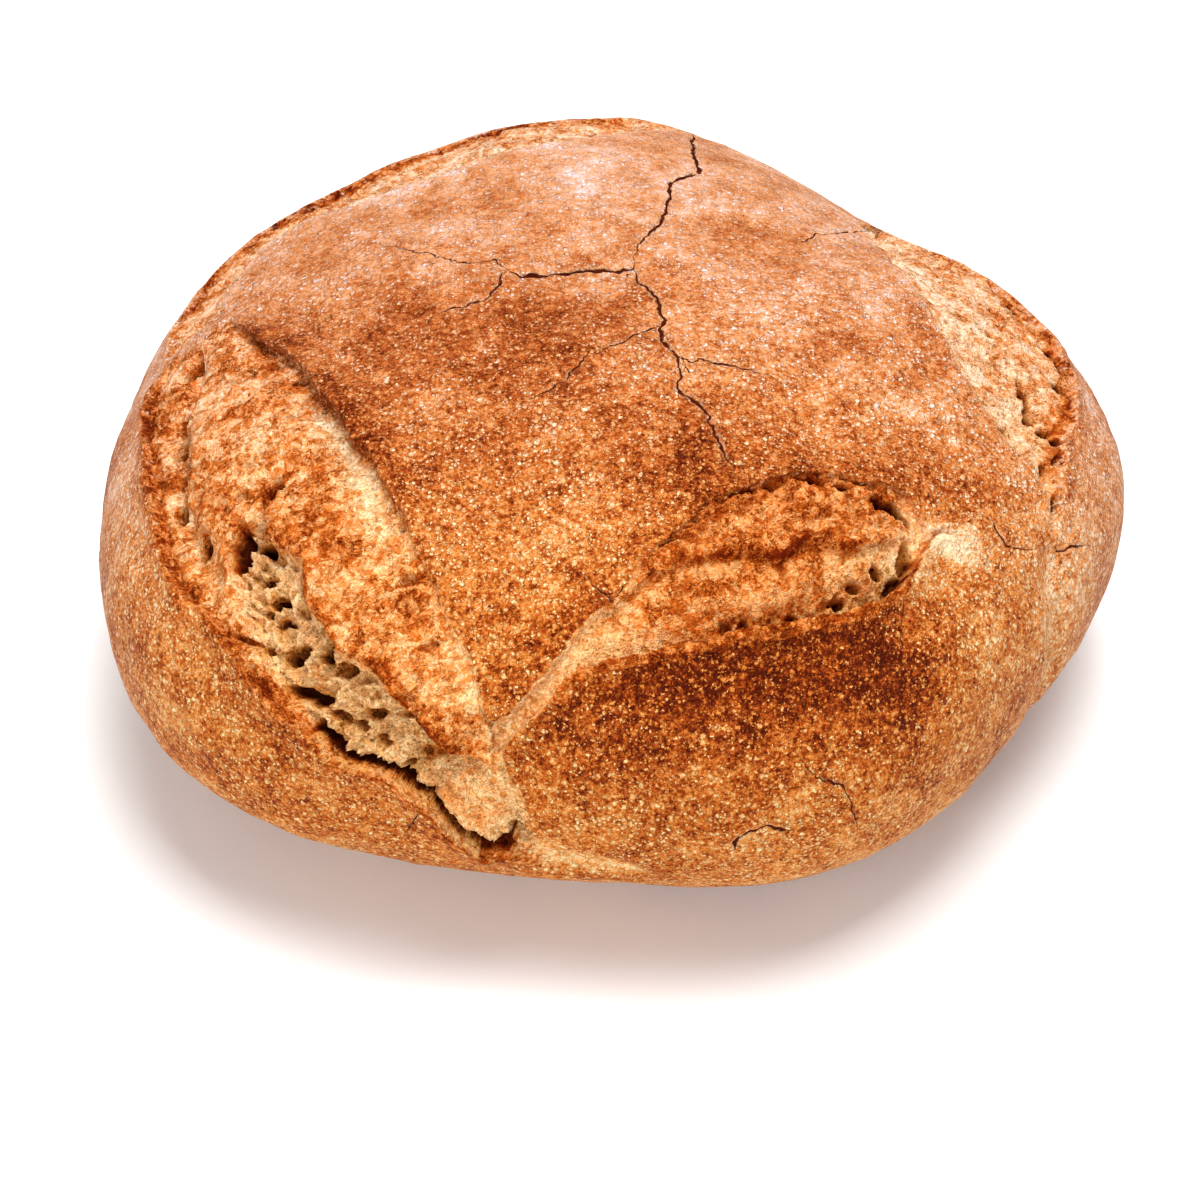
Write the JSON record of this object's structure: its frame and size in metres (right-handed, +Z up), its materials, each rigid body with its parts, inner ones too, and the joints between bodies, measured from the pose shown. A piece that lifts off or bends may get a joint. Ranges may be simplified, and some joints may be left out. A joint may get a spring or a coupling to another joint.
{
  "type": "round bread loaf",
  "caption": "Round free-standing sourdough loaf: a domed crust scored in a square, with lobes torn open around a raised middle and a flat base to rest on.",
  "frame": {"origin": "on the flat base, under the middle of the loaf's bounding box", "axes": "+Z up from the base to the crown, +Y towards the lobe at the back, +X to the right with the widest opening on the left"},
  "size_m": [0.2404, 0.2392, 0.1043],
  "materials": {
    "crust": "dry, browned bread crust, matt with fine pale specks"
  },
  "bodies": {
    "root": {"loaf": "crust"}
  },
  "joints": []
}
